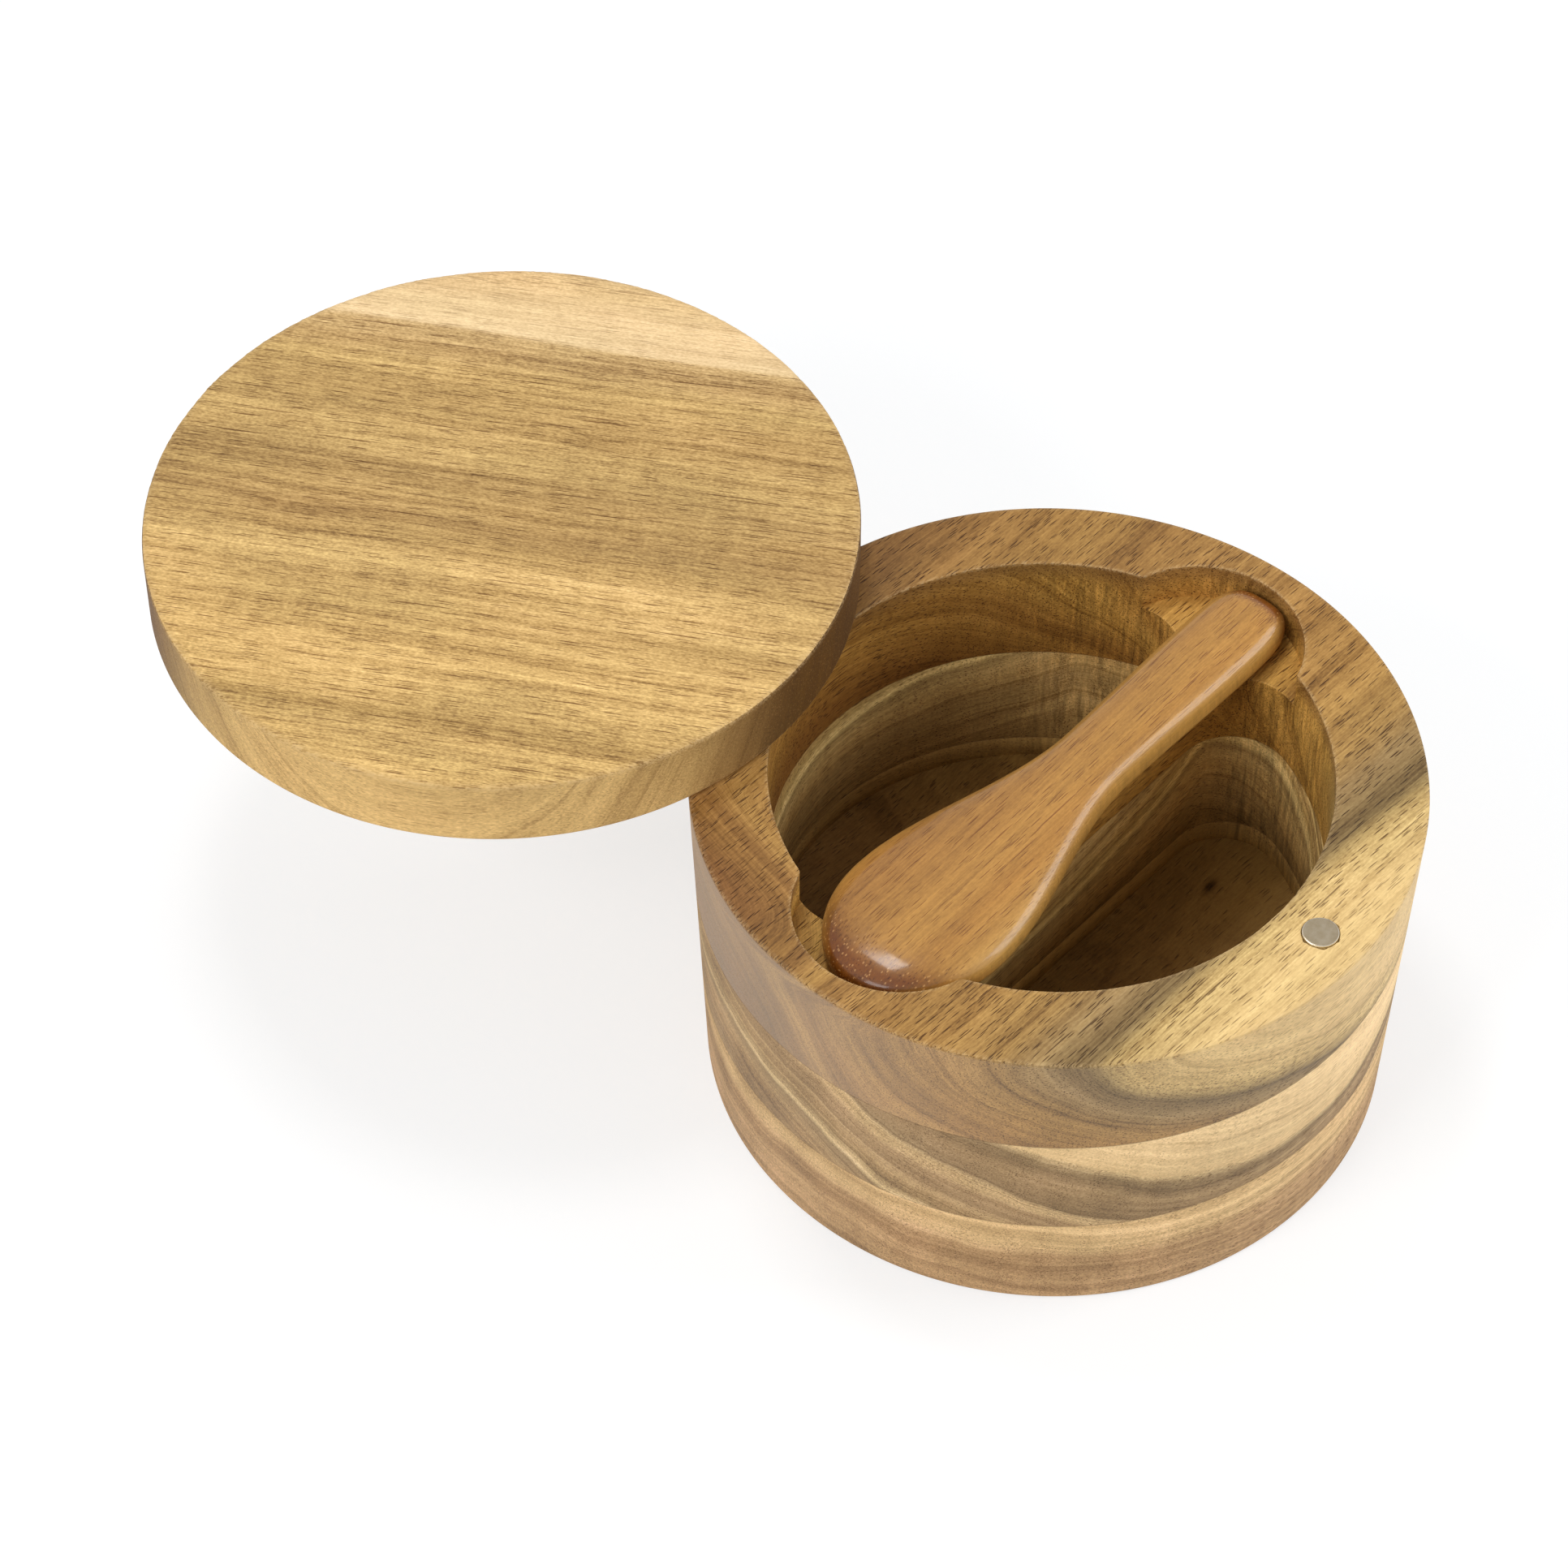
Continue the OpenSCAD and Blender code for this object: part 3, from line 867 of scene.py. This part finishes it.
# The lid's magnet is a twin of the one in the rim, set flush in the lid's underside so
# that the two meet when the lid swings shut.
finished(disc_magnet(magnet_place, *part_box("lid_magnet")), "magnet_lid", nickel, "lid",
         "lid_magnet")


# The spoon is carved from one strip of acacia and sealed with a thin glossy finish. Its bowl
# lies face down in one pocket and its handle in the other.
handle_room, bowl_room = 0.4, 2.6
handle_reach = rim_r - pocket_wall - handle_room
bowl_reach = rim_r - pocket_wall - bowl_room
spoon_h = 7.2
belly_share = 0.4
spoon_shift = 2.2
spoon_turn = wells_turn + math.radians(0.9)
spoon_gap = 0.1
handle_w, waist_w, bowl_w = 14.6, 13.4, 30.0
handle_flare_l, bowl_middle_l = 12.0, 19.2
handle_x, waist_x, bowl_x = handle_reach - handle_flare_l, 9.0, bowl_middle_l - bowl_reach
handle_nose_l, handle_edge_l, bowl_edge_l = 14.0, 6.0, 13.0
section_power, handle_power, bowl_power, edge_power = 2.8, 3.2, 2.05, 2.2
hollow_l, hollow_w, hollow_depth, hollow_power = 31.0, 23.0, 4.9, 3.0
spoon_sections = 260
section_points = 120
flank_gain, flank_start = 1.6, 0.5


def make_spoon_tree():
    """The nodes that bend a flat grid into the spoon, from its sizes in millimetres."""
    tree = bpy.data.node_groups.new("spoon_shape", "GeometryNodeTree")
    tree.interface.new_socket("Geometry", in_out="OUTPUT", socket_type="NodeSocketGeometry")
    sizes = {"Handle reach": handle_reach, "Bowl reach": bowl_reach, "Thickness": spoon_h,
             "Handle width": handle_w, "Waist width": waist_w, "Bowl width": bowl_w}
    for label, value in sizes.items():
        socket = tree.interface.new_socket(label, in_out="INPUT", socket_type="NodeSocketFloat")
        socket.default_value = value
    tree.interface.new_socket("Finish", in_out="INPUT", socket_type="NodeSocketMaterial")
    source = tree.nodes.new("NodeGroupInput")
    size = {label: Wire(tree, source.outputs[label]) for label in [*sizes, "Finish"]}
    grid = Wire(tree).node("GeometryNodeMeshGrid", {"Size X": 1.0, "Size Y": 1.0,
                                                    "Vertices X": spoon_sections,
                                                    "Vertices Y": section_points})
    # The grid's length becomes the spoon's, closer together at both ends, and its width goes round
    along, around, _ = grid.node("GeometryNodeInputPosition").parts()
    half_turn = (along + 0.5) * math.pi
    angle = (around + 0.5) * math.tau
    reach, back = size["Handle reach"], size["Bowl reach"]
    x = (reach - back) * 0.5 - (reach + back) * 0.5 * half_turn.math("COSINE", half_turn)

    def nosed(into, span, power):
        """Share left of a size, at a distance into an end that rounds off."""
        share = (into / span).least(0.0).most(1.0)
        return (1 - share ** power).least(0.0) ** (1 / power)

    to_handle = (x - waist_x) / (handle_x - waist_x)
    to_bowl = (waist_x - x) / (waist_x - bowl_x)
    waist, handle, bowl = size["Waist width"], size["Handle width"], size["Bowl width"]
    width = (waist + (handle - waist) * to_handle.rise(0.0, 1.0)
             + (bowl - waist) * to_bowl.rise(0.0, 1.0))
    width = (width * nosed(x - reach + handle_nose_l, handle_nose_l, handle_power)
             * nosed(bowl_x - x, bowl_x + back, bowl_power))
    thick = (nosed(x - reach + handle_edge_l, handle_edge_l, edge_power)
             * nosed(0 - x - back + bowl_edge_l, bowl_edge_l, edge_power))

    def squared(wave):
        """The wave with its tops flattened, so that the section is a soft-cornered box."""
        flat = wave.math("ABSOLUTE", wave) ** (2 / section_power)
        return flat * wave.math("SIGN", wave)

    y = squared(angle.math("COSINE", angle)) * width * 0.5
    rise = squared(angle.math("SINE", angle))
    under = rise.math("LESS_THAN", rise, 0.0)
    half = 1 - belly_share + under * (2 * belly_share - 1)
    z = size["Thickness"] * (belly_share + rise * half * thick)
    # The bowl's hollow is carved up into the underside, as far as its roof
    off_x, off_y = (x - bowl_x) / (hollow_l / 2), y / (hollow_w / 2)
    far = (off_x * off_x + off_y * off_y) ** (hollow_power / 2)
    roof = (1 - far).least(0.0) * hollow_depth
    z = z + under * (roof - z).least(0.0)
    bent = z.triple(x, y, z)
    shaped = bent.node("GeometryNodeSetPosition", {"Geometry": grid, "Position": bent})
    closed = shaped.node("GeometryNodeMergeByDistance", {"Geometry": shaped, "Distance": 0.002})
    smooth = closed.node("GeometryNodeSetShadeSmooth", {"Geometry": closed, "Shade Smooth": True})
    real = smooth.node("GeometryNodeRealizeInstances", {"Geometry": smooth})
    painted = real.node("GeometryNodeSetMaterial", {"Geometry": real, "Material": size["Finish"]})
    out = tree.nodes.new("NodeGroupOutput")
    painted.feed(out, "Geometry")
    return tree


def grow(tree, **inputs):
    """The mesh that a node tree makes, with its named inputs set."""
    holder = add_object("holder", bpy.data.meshes.new("holder"))
    modifier = holder.modifiers.new("shape", "NODES")
    modifier.node_group = tree
    for item in tree.interface.items_tree:
        if item.in_out == "INPUT" and item.name in inputs:
            modifier[item.identifier] = inputs[item.name]
    shown = holder.evaluated_get(bpy.context.evaluated_depsgraph_get())
    made = bpy.data.meshes.new_from_object(shown)
    bpy.data.objects.remove(holder)
    return made


def spoon_figure(along, across, up):
    """Rings that lie flat along the strip and turn up a little towards its near edge."""
    lean_up, lean_along = 0.6, 0.02
    return across + (up - ledge_z) * lean_up - along * lean_along


# The spoon's ochre side colour is its edge grain, lightened on the flanks as a painted highlight
spoon_wood = acacia("spoon_acacia", math.degrees(spoon_turn), spoon_figure, [
    (-17, (0.40, 0.21, 0.05)),
    (-10, (0.47, 0.245, 0.055)),
    (-4, (0.41, 0.19, 0.035)),
    (2, (0.46, 0.225, 0.045)),
    (8, (0.38, 0.175, 0.033)),
    (16, (0.36, 0.16, 0.03))],
    wander=2.0, streak=2.6, contrast=0.75, veins=0.12, pores=0.75, pore_l=6.0, pore_w=0.24,
    pore_tone=0.5, threads=0.7, shine=0.45, coat=0.42, end_from=0.05, end_to=0.4,
    end_tint=(0.42, 0.25, 0.05), end_specks=0.26, side_tone=0.4,
    side_colour=(0.72, 0.42, 0.11, 1), side_contrast=0.2, hatch=0.8)

spoon = new_wood()
spoon.from_mesh(grow(make_spoon_tree(), Finish=spoon_wood))
spoon.normal_update()
flank = spoon.verts.layers.float["dry"]
for vertex in spoon.verts:
    # Its flanks show the paler ochre edge of the strip, made paler still as a painted highlight
    vertex[flank] = max(0.0, min(1.0, abs(vertex.normal.y) * flank_gain - flank_start))
    x, y = vertex.co.x, vertex.co.y - spoon_shift
    vertex.co.x = x * math.cos(spoon_turn) - y * math.sin(spoon_turn)
    vertex.co.y = x * math.sin(spoon_turn) + y * math.cos(spoon_turn) + wells_shift
    vertex.co.z += ledge_z + spoon_gap
finished(spoon, "spoon_carved", spoon_wood, "spoon", "spoon", crease=60)


# The studio is a plain pale table under an even white tent, with a soft lamp on each side
# and one overhead. Only the shadow close under the box shows on the white ground.
table_half = 3.0
paper_white = (0.9, 0.9, 0.9, 1)
paper_seen = (0.45, 0.45, 0.45, 1)
paper_glow = (0.60, 0.61, 0.62)
tent_level = 0.45
lamp_aim = Vector((0, 0.03, 0.05))
ground_mesh = bpy.data.meshes.new("ground")
corners = [(x * table_half, y * table_half, 0) for x, y in ((-1, -1), (1, -1), (1, 1), (-1, 1))]
ground_mesh.from_pydata(corners, [], [(0, 1, 2, 3)])
ground = add_object("ground", ground_mesh)
paper = bpy.data.materials.new("white_paper")
paper.use_nodes = True
paper_shader = paper.node_tree.nodes["Principled BSDF"]
paper_shader.inputs["Roughness"].default_value = 0.9
paper_shader.inputs["Specular IOR Level"].default_value = 0.0
paper_shader.inputs["Emission Strength"].default_value = 1.0
# The camera sees the paper lit through from below, so that it is white but for the shadow
seen = Wire(paper.node_tree).node("ShaderNodeLightPath", output="Is Camera Ray")
seen.blend(paper_white, paper_seen).feed(paper_shader, "Base Color")
seen.triple(*[seen * part for part in paper_glow]).feed(paper_shader, "Emission Color")
ground_mesh.materials.append(paper)

tent = bpy.data.worlds.new("white_tent")
tent.use_nodes = True
bpy.context.scene.world = tent
background = tent.node_tree.nodes["Background"]
background.inputs["Color"].default_value = (1, 1, 1, 1)
seen = Wire(tent.node_tree).node("ShaderNodeLightPath", output="Is Camera Ray")
seen = seen.least(seen.also("Is Glossy Ray")).least(seen.also("Is Transmission Ray"))
(seen * (1 - tent_level) + tent_level).feed(background, "Strength")


def soft_lamp(name, direction, distance, size, power):
    """A square soft box aimed at the box from a direction."""
    data = bpy.data.lights.new(name, "AREA")
    data.shape = "SQUARE"
    data.size = size
    data.energy = power
    lamp = add_object(name, data)
    lamp.location = Vector(direction).normalized() * distance + lamp_aim
    lamp.rotation_euler = Vector(direction).to_track_quat("Z", "Y").to_euler()


soft_lamp("lamp_left", (-0.76, 0.05, 0.60), 1.0, 0.42, 4.1)
soft_lamp("lamp_right", (0.56, -0.60, 0.46), 1.0, 0.46, 3.9)
soft_lamp("lamp_above", (0.07, 0.28, 1.0), 1.1, 0.22, 2.6)
